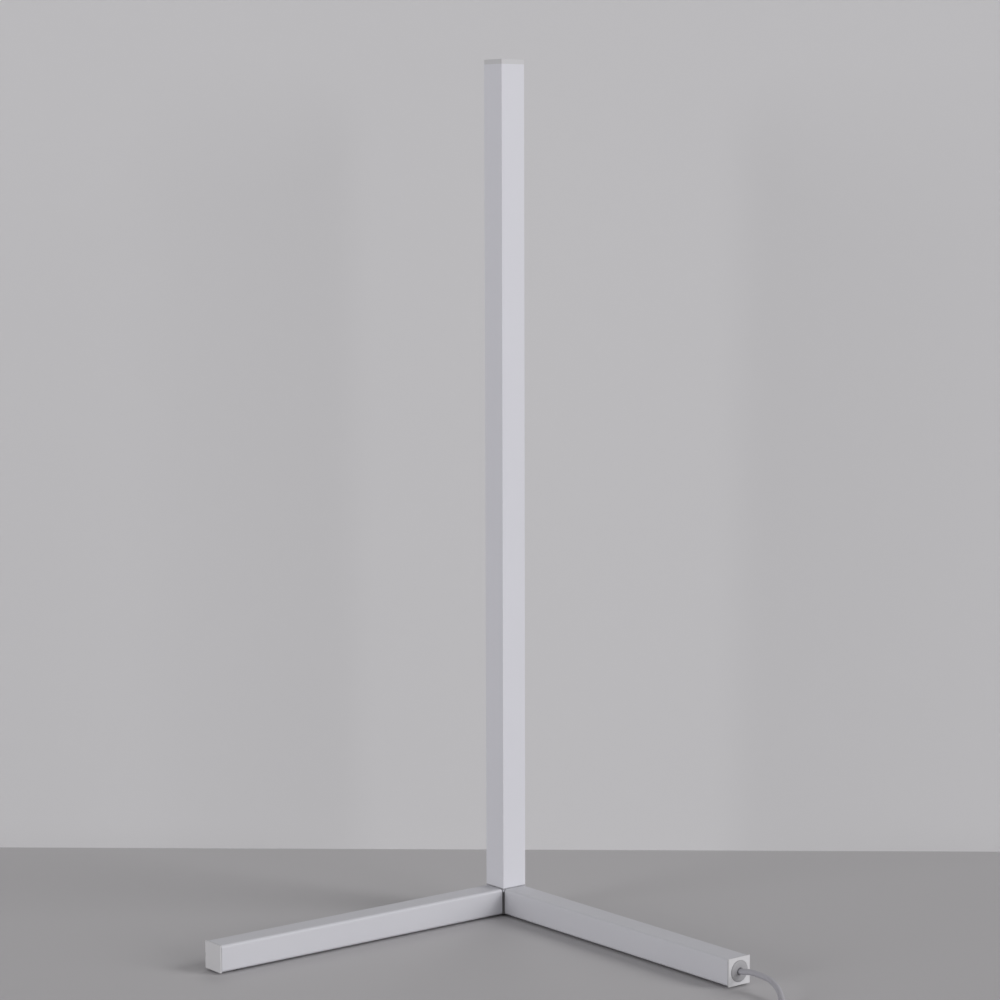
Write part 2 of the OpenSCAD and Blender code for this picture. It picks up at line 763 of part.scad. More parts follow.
module cord_coil() {
    color(cord_grey) tube(coil_points, cord_d, 6, [-1, 0, 0], [-1, 0, 0]);
}

module cord_tail() {
    color(cord_grey) tube(smooth(tail_route, 2), cord_d, cord_sides, [-1, 0, 0], [-1, 0, 0]);
}

// A soft strap round all the turns, at the coil's back
module coil_tie() {
    near = coil_in - turn_step / 8 - cord_d / 2;
    y0 = sqrt(near * near - tie_w * tie_w / 4) - 0.1;
    y1 = coil_out - turn_step / 2 + cord_d / 2 + 0.1;
    h = turn_step + cord_d;
    color(rubber_black)
        translate([coil_at[0] - tie_w / 2, coil_at[1] + (y0 + y1) / 2, tie_t + h / 2])
            rotate([90, 0, 90]) linear_extrude(tie_w)
                difference() {
                    round_rect(y1 - y0 + 2 * tie_t, h + 2 * tie_t, 2.2);
                    round_rect(y1 - y0, h, 1.4);
                }
}

// ---------------------------------------------------------------- in-line switch

// The switch's own frame: +X runs back along the cord, Z = 0 is the floor
module switch_frame() {
    translate([switch_at[0], switch_at[1] - switch_len / 2, 0]) rotate([0, 0, 90]) children();
}

split_z = 7;
switch_wall = 1.8;
rocker_w = 10;
rocker_gap = 0.35;
window_l = 18.6;
window_w = rocker_w + 2 * rocker_gap;
pivot_z = 11.2;
pivot_r = 1.1;
pivot_fit = 0.06;
pin_out = 1.4;
switch_screw_x = 22;

module switch_plan(shrink = 0) {
    l = switch_len - 2 * shrink;
    w = switch_w - 2 * shrink;
    // a stadium with blunt ends
    intersection() {
        round_rect(l, w, 7 - shrink);
        union() {
            translate([-l / 2 + 14, -w / 2]) square([l - 28, w]);
            for (side = [-1, 1]) translate([side * (l / 2 - 17), 0]) circle(17);
        }
    }
}

module switch_base() {
    color(cap_white) switch_frame() difference() {
        union() {
            difference() {
                translate([0, 0, 0.8]) linear_extrude(split_z - 0.8) switch_plan();
                translate([0, 0, 2.2]) linear_extrude(split_z) switch_plan(switch_wall);
            }
            linear_extrude(0.81) switch_plan(0.8);
            // bosses for the screws, and a saddle under the cord at each end
            for (side = [-1, 1]) {
                translate([side * switch_screw_x, 7.2, 1]) cylinder(r = 2.6, h = split_z - 1);
                translate([side * (switch_len / 2 - 5) - 4, -4.5, 1]) cube([8, 9, split_z - 1]);
            }
        }
        for (side = [-1, 1]) translate([side * switch_screw_x, 7.2, 0]) {
            translate([0, 0, -0.01]) cylinder(d = 4.6, h = 2);
            cylinder(r = 1.15, h = switch_h);
        }
        x_rod(-switch_len / 2 - 1, switch_len / 2 + 1, cord_d / 2 - 0.05, 0, split_z);
    }
}

module switch_cover() {
    color(cap_white) switch_frame() difference() {
        union() {
            difference() {
                union() {
                    translate([0, 0, split_z]) linear_extrude(switch_h - 1 - split_z) switch_plan();
                    translate([0, 0, switch_h - 1.01]) linear_extrude(1.01) switch_plan(0.9);
                }
                translate([0, 0, split_z - 1]) linear_extrude(switch_h - split_z - 1)
                    switch_plan(switch_wall);
            }
            // skirts beside the window hold the rocker's pins
            for (side = [-1, 1])
                translate([-4, side * (window_w / 2 + 1) - 1, 8.4]) cube([8, 2, switch_h - 9]);
            for (side = [-1, 1]) {
                translate([side * switch_screw_x, 7.2, split_z]) cylinder(r = 2.6, h = switch_h - split_z - 1);
                translate([side * (switch_len / 2 - 5) - 4, -4.5, split_z]) cube([8, 9, switch_h - split_z - 1]);
            }
        }
        translate([-window_l / 2, -window_w / 2, split_z]) cube([window_l, window_w, 20]);
        translate([0, window_w, pivot_z]) rotate([90, 0, 0]) cylinder(r = pivot_r + pivot_fit, h = 2 * window_w);
        for (side = [-1, 1])
            translate([side * switch_screw_x, 7.2, 0]) cylinder(r = 0.88, h = 11.5);
        x_rod(-switch_len / 2 - 1, switch_len / 2 + 1, cord_d / 2 - 0.05, 0, split_z);
    }
}

// Dished rocker; its ends are arcs about the pin, so they keep clear of the window.
// It rests in the off position, with its lamp-side end down.
module switch_rocker() {
    color(relief_grey) switch_frame() translate([0, 0, pivot_z]) rotate([0, rocker_travel / 2, 0]) {
        rotate([90, 0, 0]) translate([0, 0, -rocker_w / 2]) linear_extrude(rocker_w)
            intersection() {
                polygon([
                    [-9.2, -1.4], [-2.5, -2.2], [2.5, -2.2], [9.2, -1.4],
                    [9.2, 5.1], [7.6, 5.1], [4, 4.3], [0, 4], [-4, 4.3], [-7.6, 5.1], [-9.2, 5.1]
                ]);
                circle(8.7);
            }
        translate([0, rocker_w / 2 + pin_out, 0]) rotate([90, 0, 0])
            cylinder(r = pivot_r, h = rocker_w + 2 * pin_out);
    }
}

module switch_screws() {
    color(zinc) switch_frame() for (side = [-1, 1])
        translate([side * switch_screw_x, 7.2, 0.4]) difference() {
            union() {
                cylinder(d = 4.2, h = 1.5);
                translate([0, 0, 1.49]) cylinder(d = 1.86, h = 8.5);
            }
            translate([-1.6, -0.3, -0.01]) cube([3.2, 0.6, 0.8]);
            translate([-0.3, -1.6, -0.01]) cube([0.6, 3.2, 0.8]);
        }
}

// ---------------------------------------------------------------- plug

plug_len = 36;
plug_t = 14;
pin_d = 4;
pin_len = 19;
pin_pitch = 18.6;

// The plug's own frame: +X points the way the pins do
module plug_frame() { translate(plug_at) rotate([0, 0, 180]) children(); }

// Flat two-pin plug: a grip that widens from the cord to the pin face
module plug_body() {
    color(cap_white) plug_frame() difference() {
        union() {
            intersection() {
                translate([0, 0, -plug_t / 2]) linear_extrude(plug_t) polygon([
                    [0, -4.5], [9, -5], [14, -8], [20, -13], [27, -17], [plug_len, -17.5],
                    [plug_len, 17.5], [27, 17], [20, 13], [14, 8], [9, 5], [0, 4.5]
                ]);
                translate([0, 50, 0]) rotate([90, 0, 0]) linear_extrude(100) polygon([
                    [0, -4.6], [12, -5.6], [22, -7], [plug_len - 0.8, -7], [plug_len, -6.2],
                    [plug_len, 6.2], [plug_len - 0.8, 7], [22, 7], [12, 5.6], [0, 4.6]
                ]);
            }
        }
        x_rod(-1, cord_in + 1, cord_d / 2 - 0.05);
        // finger grooves on the flat sides
        for (side = [-1, 1], x = [17, 21, 25])
            translate([x, -9, side * 7.4]) rotate([-90, 0, 0]) cylinder(r = 0.9, h = 18);
    }
}

module plug_pins() {
    color(zinc) plug_frame() for (side = [-1, 1])
        translate([plug_len, side * pin_pitch / 2, 0]) rotate([0, 90, 0]) {
            cylinder(d = pin_d, h = pin_len - 1.5);
            translate([0, 0, pin_len - 1.51]) cylinder(d1 = pin_d, d2 = 1.6, h = 1.51);
        }
}

// ---------------------------------------------------------------- parts

bar_profile();
rear_diffuser();
led_board();
led_chips();
top_cap();
corner_connector();
bar_screws();
leg_left();
leg_right();
leg_screws();
end_cap_left();
end_cap_right();
pad_left();
pad_right();
pad_corner();
driver_case();
driver_lid();
driver_board();
terminal_block();
terminal_screws();
supply_lead();
driver_wires();
led_lead();
strain_relief();
cord_lead();
switch_base();
switch_cover();
switch_rocker();
switch_screws();
cord_link();
cord_coil();
coil_tie();
cord_tail();
plug_body();
plug_pins();
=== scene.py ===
# %% [markdown]
# # A corner floor lamp
# The lamp is a slim square bar that stands on two legs set at a right angle. Its two
# painted faces look into the room, and its two opal faces light the corner behind it.
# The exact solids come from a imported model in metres, +Z up, with the floor at Z = 0.
# This script gives them their finishes, lays the mains cord, and sets up the camera
# and the light. Everything shares the frame of the solids, so nothing has to be fitted.

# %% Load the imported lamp
import math
import bpy
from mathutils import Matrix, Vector


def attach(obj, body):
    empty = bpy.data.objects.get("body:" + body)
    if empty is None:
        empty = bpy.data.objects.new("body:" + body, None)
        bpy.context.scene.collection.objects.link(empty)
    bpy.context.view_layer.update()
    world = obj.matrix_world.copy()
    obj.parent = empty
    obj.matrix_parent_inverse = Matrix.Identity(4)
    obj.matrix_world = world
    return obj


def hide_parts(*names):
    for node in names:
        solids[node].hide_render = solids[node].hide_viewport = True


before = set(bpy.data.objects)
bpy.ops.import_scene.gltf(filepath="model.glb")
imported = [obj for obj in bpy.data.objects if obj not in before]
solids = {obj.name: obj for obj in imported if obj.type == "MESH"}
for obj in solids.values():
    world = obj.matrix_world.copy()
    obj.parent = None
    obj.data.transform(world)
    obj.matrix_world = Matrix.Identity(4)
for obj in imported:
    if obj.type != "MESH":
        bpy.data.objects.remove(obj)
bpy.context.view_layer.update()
MM = 0.001

# %% [markdown]
# ## The camera
# The photograph was taken with a long lens from about three metres, a little to the
# right of the lamp and looking down by seven degrees. A camera can be placed by eye, but
# this one was worked out from the corners of the bar, the legs and the end caps, so that
# the straight edges of the lamp run as they do in the photograph. The lens's axis lies
# right of the picture's middle, which a small sideways shift repeats.

# %% Place the camera
LENS, SIDE_SHIFT = 101.9, -0.085
LOOK_DOWN, ROLL, LOOK_LEFT = 6.552, -0.059, 5.354
camera_data = bpy.data.cameras.new("photographer")
camera_data.sensor_width = 36
camera_data.lens = LENS
camera_data.shift_x = SIDE_SHIFT
camera = bpy.data.objects.new("photographer", camera_data)
camera.location = (0.367, -2.8729, 0.7993)
camera.rotation_euler = [math.radians(a) for a in (90 - LOOK_DOWN, ROLL, LOOK_LEFT)]
bpy.context.collection.objects.link(camera)
bpy.context.scene.camera = camera
bpy.context.scene.view_settings.view_transform = "Standard"
print("camera at", [round(v, 3) for v in camera.location], "with a", LENS, "mm lens")

# %% [markdown]
# ## The mains cord's route
# A cord is a fixed length of something springy. This one leaves the right leg's end cap
# level, sags to the floor within a hand's width, and runs out of the picture. The rest
# is put away: it passes through an in-line switch, lies in a flat coil of two layers and
# ends in its plug. A simulated rope is hard to lead through a switch and into a neat
# coil, so a few given points are joined by a smooth curve instead. The solids'
# route is made the same way, and both lie in the same place.

# %% A smooth curve through points
def smooth(points, steps):
    """Catmull-Rom: each span between two points is cut into steps."""
    p = [Vector(q) for q in points]
    line = []
    for i in range(len(p) - 1):
        a, b, c, d = p[max(i - 1, 0)], p[i], p[i + 1], p[min(i + 2, len(p) - 1)]
        for k in range(steps):
            t = k / steps
            line.append(0.5 * (2 * b + (c - a) * t + (2 * a - 5 * b + 4 * c - d) * t * t
                               + (3 * b - a - 3 * c + d) * t ** 3))
    return line + [p[-1]]


def length_of(line):
    return sum((b - a).length for a, b in zip(line, line[1:]))


bend_test = smooth([(0, 0, 0), (1, 0, 0), (1, 1, 0)], 8)
print("a test curve is", round(length_of(bend_test), 3), "long")

# %% Where things are, in millimetres
BAR_HALF, REACH, PAD_T = 15.0, 360.0, 2.1
LEG_W, LEG_WALL, CAP_W, CORE_HALF = 28.0, 1.5, 28.5, 16.0
COS45 = math.sqrt(0.5)
leg_mid = PAD_T + LEG_W / 2
cap_x = BAR_HALF + REACH
bar_y = ((cap_x + CAP_W / 2) / math.sqrt(2) - CORE_HALF * math.sqrt(2)) / 2


def from_bar(x, y, z):
    """A point of the bar's own frame, where its front edge is at (-15, -15)."""
    return Vector((COS45 * (x - y), bar_y + COS45 * (x + y), z))


def from_right_leg(x, y, z):
    """A point of the right leg's own frame: x runs out along it from the bar's centre line."""
    return from_bar(y, -x, z)


print("the bar's centre line is at y =", round(bar_y, 2), "mm")

# %% From the leg to the switch
CORD_D, SWITCH_X = 6.0, 316
exit_at = from_right_leg(cap_x - 2, 0, leg_mid)
exit_way = Vector((COS45, -COS45, 0))
lead = [
    exit_at, exit_at + 3 * exit_way, (270, -143.6, 16.6), (276, -149.1, 18.2),
    (282.5, -154.9, 18.3), (289, -160.6, 17.7), (295.5, -166.8, 16.4), (300.5, -174.3, 14.4),
    (304.3, -182.6, 12), (306.9, -191.8, 9.3), (308.6, -201.2, 6.9), (310, -211, 5.2),
    (312, -222, 4.8), (314, -233, 5.4), (315.5, -244, 6.7), (SWITCH_X, -256, 7), (SWITCH_X, -261, 7),
]
print("the lead to the switch is", round(length_of(smooth(lead, 6))), "mm long")

# %% The coil, from the switch and on to the plug
COIL_R, TURNS, COIL_STEP, COIL_LIFT, COIL_FRONT = 36.0, 7, 6.7, 0.85, -356
layer_turns = (TURNS - 0.5) / 2
coil_outer = COIL_R + layer_turns * COIL_STEP / 2
coil_inner = COIL_R - layer_turns * COIL_STEP / 2
coil_at = Vector((246, COIL_FRONT + coil_outer, CORD_D / 2 + COIL_LIFT))


def coil_point(turn):
    """Spirals in on the floor, climbs a layer in half a turn, and spirals out again."""
    past_layer = turn - layer_turns
    if past_layer < 0:
        radius = coil_outer - turn * COIL_STEP
    elif past_layer < 0.5:
        radius = coil_inner - COIL_STEP * past_layer * (1 - 2 * past_layer)
    else:
        radius = coil_inner + (past_layer - 0.5) * COIL_STEP
    climbed = min(1, max(0, past_layer / 0.5))
    height = COIL_STEP * (3 * climbed ** 2 - 2 * climbed ** 3)
    a = 2 * math.pi * turn
    return coil_at + Vector((-radius * math.sin(a), -radius * math.cos(a), height))


coil = [coil_point(i / 48) for i in range(TURNS * 48 + 1)]
coil = [coil[0] + Vector((6, 0, 0))] + coil + [coil[-1] - Vector((6, 0, 0))]
print("the coil takes", round(length_of(coil)), "mm of cord")

# %% Join the stretches of the route
BEND_R, ON_FLOOR = 34, 3.85
bend_x, bend_y = SWITCH_X - BEND_R, coil[0].y + BEND_R
link = [(SWITCH_X, -311, 7), (SWITCH_X, -316, 7), (SWITCH_X, bend_y, 6.5)]
for turned_by, height in ((22, 5.4), (45, 4.4), (68, 4)):
    a = math.radians(turned_by)
    link.append((bend_x + BEND_R * math.cos(a), bend_y - BEND_R * math.sin(a), height))
link += [(bend_x, coil[0].y, ON_FLOOR), ((bend_x + coil[0].x) / 2, coil[0].y, ON_FLOOR), coil[0]]
coil_end = coil[-1]
tail_points = ((230, coil_end.z), (218, coil_end.z - 0.4), (206, 9.2), (192, 8), (176, 7.1),
               (168, 7), (155, 7))
tail = [coil_end] + [(x, coil_end.y, z) for x, z in tail_points]
route = smooth(lead, 6) + smooth(link, 6) + coil[1:] + smooth(tail, 6)[1:]

# %% [markdown]
# ## The cord's sheath
# The cord is a round tube along the route. A curve with a round bevel would look the
# same, but rings of corners joined by faces give a mesh whose ends are closed and whose
# sides are known, and the wires inside the lamp can be made by the same helper. One
# unbroken tube stands for the four stiff stretches of the solids.

# %% A round tube along a line
def tube_rings(line, diameter, sides, up=(0, 0, 1)):
    """Rings of corners square to the line, and the faces between them."""
    corners, faces = [], []
    for i, point in enumerate(line):
        way = (line[min(i + 1, len(line) - 1)] - line[max(i - 1, 0)]).normalized()
        across = Vector(up).cross(way).normalized()
        over = way.cross(across)
        for k in range(sides):
            a = 2 * math.pi * (k + 0.5) / sides
            corners.append(point + (across * math.cos(a) + over * math.sin(a)) * diameter / 2)
    for i in range(len(line) - 1):
        for k in range(sides):
            a, b = i * sides + k, i * sides + (k + 1) % sides
            faces.append((a, b, b + sides, a + sides))
    faces.append(tuple(range(sides - 1, -1, -1)))
    last = (len(line) - 1) * sides
    faces.append(tuple(range(last, last + sides)))
    return corners, faces


def piece_from(name, corners, faces):
    """A smooth-shaded mesh from millimetre corners, riding on the lamp's body."""
    mesh = bpy.data.meshes.new(name)
    mesh.from_pydata([Vector(c) * MM for c in corners], [], faces)
    mesh.shade_smooth()
    piece = bpy.data.objects.new(name, mesh)
    bpy.context.collection.objects.link(piece)
    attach(piece, "lamp")
    return piece


def tubes(name, lines, diameters, sides, up=(0, 0, 1)):
    """One piece made of several tubes, such as a pair of wires."""
    corners, faces = [], []
    for line, diameter in zip(lines, diameters):
        more, skins = tube_rings(line, diameter, sides, up)
        faces += [tuple(len(corners) + k for k in skin) for skin in skins]
        corners += more
    return piece_from(name, corners, faces)


mains_cord = tubes("mains_cord", [route], [CORD_D], 16)
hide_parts("cord_lead", "cord_link", "cord_coil", "cord_tail")
print("mains_cord has", len(mains_cord.data.polygons), "faces")

# %% [markdown]
# ## The strap round the coil
# A put-away cord is held by a short strap of hook-and-loop tape. It is a strip that runs
# once round the bundle and overlaps itself on top. A cloth simulation could wrap it, but
# tape this short is stiff, so the strip is drawn as a line of corners, and two modifiers
# give it its thickness and soft edges.

# %% The strap's line
STRAP_T, STRAP_W, STRAP_SLACK, STRAP_BEND = 0.9, 11.0, 0.1, 1.85
hole_r = coil_inner - COIL_STEP / 8 - CORD_D / 2
strap_y0 = math.sqrt(hole_r ** 2 - STRAP_W ** 2 / 4) - STRAP_SLACK - STRAP_T / 2
strap_y1 = coil_outer - COIL_STEP / 2 + CORD_D / 2 + STRAP_SLACK + STRAP_T / 2
strap_z0, strap_z1 = STRAP_T / 2, STRAP_T * 1.5 + COIL_STEP + CORD_D


def strap_line():
    """Once round the bundle from the middle of its top, with the free end lapped over."""
    mid = (strap_y0 + strap_y1) / 2
    line = [(mid, strap_z1)]
    for y, z, start in ((strap_y0, strap_z1, 90), (strap_y0, strap_z0, 180),
                        (strap_y1, strap_z0, 270), (strap_y1, strap_z1, 0)):
        centre_y = y + STRAP_BEND * (1 if y == strap_y0 else -1)
        centre_z = z + STRAP_BEND * (1 if z == strap_z0 else -1)
        for turned_by in range(start, start + 91, 15):
            a = math.radians(turned_by)
            line.append((centre_y + STRAP_BEND * math.cos(a), centre_z + STRAP_BEND * math.sin(a)))
    lapped = strap_z1 + STRAP_T + 0.05
    return line + [(mid + 5, strap_z1 + 0.12), (mid + 2, strap_z1 + 0.7),
                   (mid - 1, lapped), (strap_y0 + 5, lapped)]


print("the strap wraps", round(strap_y1 - strap_y0, 1), "by", round(strap_z1 - strap_z0, 1), "mm")

# %% The strap itself
once_round = strap_line()
across_strap = [STRAP_W * (k / 4 - 0.5) for k in range(5)]
strap_corners = [(coil_at.x + x, coil_at.y + y, z) for y, z in once_round for x in across_strap]
strap_faces = [(5 * i + k, 5 * i + k + 1, 5 * i + k + 6, 5 * i + k + 5)
               for i in range(len(once_round) - 1) for k in range(4)]
strap = piece_from("coil_strap", strap_corners, strap_faces)
thickness = strap.modifiers.new("tape_thickness", "SOLIDIFY")
thickness.thickness, thickness.offset = (STRAP_T - 0.12) * MM, 0
soft_edges = strap.modifiers.new("soft_edges", "BEVEL")
soft_edges.width, soft_edges.segments = 0.2 * MM, 2
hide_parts("coil_tie")
print("the strip has", len(strap_faces), "faces before its modifiers")

# %% [markdown]
# ## The cord's bush
# Where the cord leaves the end cap, a moulded bush grips it. Its round grey face is a
# low dome that sits in a shallow recess of the cap, and its mouth widens outwards, so
# that the cord can bend without a kink. Inside the leg a collar tapers along the cord.
# It could be put together from cylinders and cones, but a round moulding is simplest
# turned from one profile, which also holds the small rounds on every lip.

# %% Turn the bush
def turned(name, profile, at, way, sides):
    """A profile of (distance along the axis, radius) turned about a level axis."""
    side, up = Vector((-way.y, way.x, 0)), Vector((0, 0, 1))
    angles = [2 * math.pi * k / sides for k in range(sides)]
    spokes = [side * math.cos(a) + up * math.sin(a) for a in angles]
    corners = [at + way * distance + spoke * radius for distance, radius in profile for spoke in spokes]
    faces = []
    for i in range(len(profile) - 1):
        ring, further = i * sides, (i + 1) * sides
        for k in range(sides):
            after = (k + 1) % sides
            faces.append((ring + k, ring + after, further + after, further + k))
    return piece_from(name, corners, faces)


bush_at = from_right_leg(cap_x, 0, leg_mid)
collar = [(-20, 3.0), (-20, 4.3), (-19.8, 4.45), (-2.1, 6.95), (-1.9, 6.9), (-1.85, 6.7)]
neck = [(-1.85, 5.1), (-0.5, 5.1)]
rim = [(-0.48, 10.6), (-0.4, 10.75), (-0.2, 10.8), (0.08, 10.8), (0.3, 10.68), (0.46, 10.46)]
dome = [(0.6, 10.1), (0.78, 9.5), (0.9, 8.8), (1.0, 8.1), (1.08, 7.3), (1.15, 6.3), (1.19, 5.4), (1.19, 4.4)]
mouth = [(1.12, 4.0), (0.98, 3.75), (0.7, 3.55), (0.2, 3.4), (-0.6, 3.25), (-1.4, 3.15), (-2.2, 3.05)]
bush_profile = collar + neck + rim + dome + mouth + collar[:1]
bush = turned("cord_bush", bush_profile, bush_at, exit_way, 48)
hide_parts("strain_relief")
print("the bush stands", max(distance for distance, radius in bush_profile), "mm out of the cap")

# %% [markdown]
# ## Wires inside the lamp
# Three leads hide in the lamp: the end of the mains cord with its two cores, the pair
# from the terminals to the driver, and the pair that climbs through the corner to the
# lamp board. The solids hold tubes of few sides. Their finish alone could be changed,
# but the same lines with more sides look like real wires when the lamp is opened.

# %% Supply end and driver pair
inside_floor = PAD_T + LEG_WALL
driver_x0, driver_x1 = BAR_HALF + 110, BAR_HALF + 240
block_x0, block_x1 = driver_x1 + 28, driver_x1 + 46
wire_z, clamp_z = inside_floor + 8, inside_floor + 5


def leg_line(points, steps=6):
    return smooth([from_right_leg(*p) for p in points], steps)


sheath = [from_right_leg(x, 0, leg_mid) for x in (block_x1 + 16, cap_x - 20, cap_x - 2)]
cores, driver_lines = [], []
for side in (-1, 1):
    cores.append(leg_line([
        (block_x1 + 17, side * 1.3, leg_mid), (block_x1 + 13, side * 1.4, leg_mid),
        (block_x1 + 8, side * 3, leg_mid - 3), (block_x1 + 3, side * 4, clamp_z),
        (block_x1 - 5, side * 4, clamp_z)]))
    driver_lines.append(leg_line([
        (driver_x1 - 12, side * 4, wire_z), (driver_x1 + 4, side * 4, wire_z),
        (driver_x1 + 14, side * 4, inside_floor + 6.5), (driver_x1 + 23, side * 4, clamp_z),
        (block_x0 + 5, side * 4, clamp_z)]))
supply_end = tubes("supply_end", [sheath] + cores, [CORD_D, 2, 2], 14)
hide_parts("supply_lead")
driver_pair = tubes("driver_pair", driver_lines, [2, 2], 12)
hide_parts("driver_wires")
print("supply end and driver pair laid, with", len(cores) + len(driver_lines), "wires")

# %% The lamp lead
WEB_AT = -4 + 0.8 * COS45
BAR_FOOT = PAD_T + LEG_W - 3
DUCT_Z = leg_mid + 2
ON_BOARD = 1.2 + 0.9 - 0.1


def on_web(x, out, z):
    """A point by the lamp board: x along the web, out towards the corner of the room."""
    return (WEB_AT + COS45 * (x + out), WEB_AT + COS45 * (out - x), z)


lamp_lines = []
for side in (-1, 1):
    apart = 0.95 * side
    duct_x = -5 + apart
    in_leg = [(4 * side, -driver_x0 - 12, wire_z), (4 * side, -driver_x0 + 4, wire_z),
              ((duct_x + 4 * side) / 2, -driver_x0 + 24, (wire_z + DUCT_Z) / 2), (duct_x, -67, DUCT_Z - 1)]
    in_duct = [(duct_x, -47, DUCT_Z), (duct_x, -27, DUCT_Z), (duct_x, -14.5, DUCT_Z),
               (duct_x, -9.9, DUCT_Z + 1.6), (duct_x, -8.5, DUCT_Z + 6), (duct_x, -8.5, DUCT_Z + 9)]
    up_the_web = [on_web(2.2 + apart, -4.2, BAR_FOOT + 5), on_web(1.2 + apart, -1.8, BAR_FOOT + 8),
                  on_web(apart, 1, BAR_FOOT + 12), on_web(apart, ON_BOARD, BAR_FOOT + 17),
                  on_web(apart, ON_BOARD, BAR_FOOT + 25.5)]
    lamp_lines.append(smooth([from_bar(*p) for p in in_leg + in_duct + up_the_web], 6))
lamp_pair = tubes("lamp_pair", lamp_lines, [1.8, 1.8], 12, up=(1, -1, 0))
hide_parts("led_lead")
print("the lamp lead is", round(length_of(lamp_lines[0])), "mm long")

# %% [markdown]
# ## Effects that the finishes share
# Powder coat, moulded plastic and rubber all have two things in common: a fine grain
# that catches the light, and a tone that drifts slightly over the piece. A picture
# could be wrapped round each piece, but noise in the object's own space needs no
# unwrapping and stays at its real size everywhere. Both are built once as a node group,
# whose outputs are only values.

# %% The grain group
def new_group(name, inputs, outputs):
    """An empty shader node group with named sockets."""
    group = bpy.data.node_groups.new(name, "ShaderNodeTree")
    for title, kind, default in inputs:
        socket = group.interface.new_socket(title, in_out="INPUT", socket_type=kind)
        socket.default_value = default
    for title, kind in outputs:
        group.interface.new_socket(title, in_out="OUTPUT", socket_type=kind)
    return group, group.nodes.new("NodeGroupInput"), group.nodes.new("NodeGroupOutput")


grain, grain_in, grain_out = new_group(
    "surface_grain",
    [("Grain Scale", "NodeSocketFloat", 900.0), ("Drift Scale", "NodeSocketFloat", 9.0)],
    [("Height", "NodeSocketFloat"), ("Drift", "NodeSocketFloat")])
grain_place = grain.nodes.new("ShaderNodeTexCoord")
for title, detail, result in (("Grain Scale", 2.0, "Height"), ("Drift Scale", 4.0, "Drift")):
    noise = grain.nodes.new("ShaderNodeTexNoise")
    noise.inputs["Detail"].default_value = detail
    grain.links.new(grain_place.outputs["Object"], noise.inputs["Vector"])
    grain.links.new(grain_in.outputs[title], noise.inputs["Scale"])
    grain.links.new(noise.outputs["Fac"], grain_out.inputs[result])
print("group", grain.name, "has", len(grain.nodes), "nodes")

# %% [markdown]
# ## Dust
# Nothing that stands on a floor stays perfectly clean: dust settles on faces that look
# up, more in some places than in others. Painting it by hand would tie it to one piece.
# The group finds such faces by their normal, takes a clean colour and gives back the
# dusted one, with a mask that the material uses to dull its gloss.

# %% The dust group
def maths(group, operation, first, second, clamp=False):
    """One Math node; each operand is a socket or a number."""
    node = group.nodes.new("ShaderNodeMath")
    node.operation = operation
    node.use_clamp = clamp
    for operand, value in zip(node.inputs, (first, second)):
        if isinstance(value, (int, float)):
            operand.default_value = value
        else:
            group.links.new(value, operand)
    return node.outputs[0]


def scaled(group, vector, factor):
    """A colour times a value."""
    node = group.nodes.new("ShaderNodeVectorMath")
    node.operation = "SCALE"
    group.links.new(vector, node.inputs[0])
    group.links.new(factor, node.inputs["Scale"])
    return node.outputs[0]


DUST_COLOUR = (0.33, 0.32, 0.31, 1)
dust, dust_in, dust_out = new_group(
    "settled_dust",
    [("Colour", "NodeSocketColor", (0.6, 0.6, 0.6, 1)), ("Drift", "NodeSocketFloat", 0.5),
     ("Tone", "NodeSocketFloat", 0.04), ("Dust", "NodeSocketFloat", 0.2)],
    [("Colour", "NodeSocketColor"), ("Mask", "NodeSocketFloat")])
surface = dust.nodes.new("ShaderNodeNewGeometry")
normal_axes = dust.nodes.new("ShaderNodeSeparateXYZ")
dust.links.new(surface.outputs["Normal"], normal_axes.inputs[0])
drift = dust_in.outputs["Drift"]
upward = maths(dust, "MULTIPLY", maths(dust, "SUBTRACT", normal_axes.outputs["Z"], 0.55, True), 2.2, True)
mask = maths(dust, "MULTIPLY", maths(dust, "MULTIPLY", upward, drift), dust_in.outputs["Dust"], True)
tone_shift = maths(dust, "MULTIPLY", maths(dust, "SUBTRACT", drift, 0.5), dust_in.outputs["Tone"])
dusted = dust.nodes.new("ShaderNodeMix")
dusted.data_type = "RGBA"
dusted.inputs["B"].default_value = DUST_COLOUR
toned = scaled(dust, dust_in.outputs["Colour"], maths(dust, "ADD", tone_shift, 1.0))
dust.links.new(toned, dusted.inputs["A"])
dust.links.new(mask, dusted.inputs["Factor"])
dust.links.new(dusted.outputs["Result"], dust_out.inputs["Colour"])
dust.links.new(mask, dust_out.inputs["Mask"])
print("group", dust.name, "has", len(dust.nodes), "nodes")
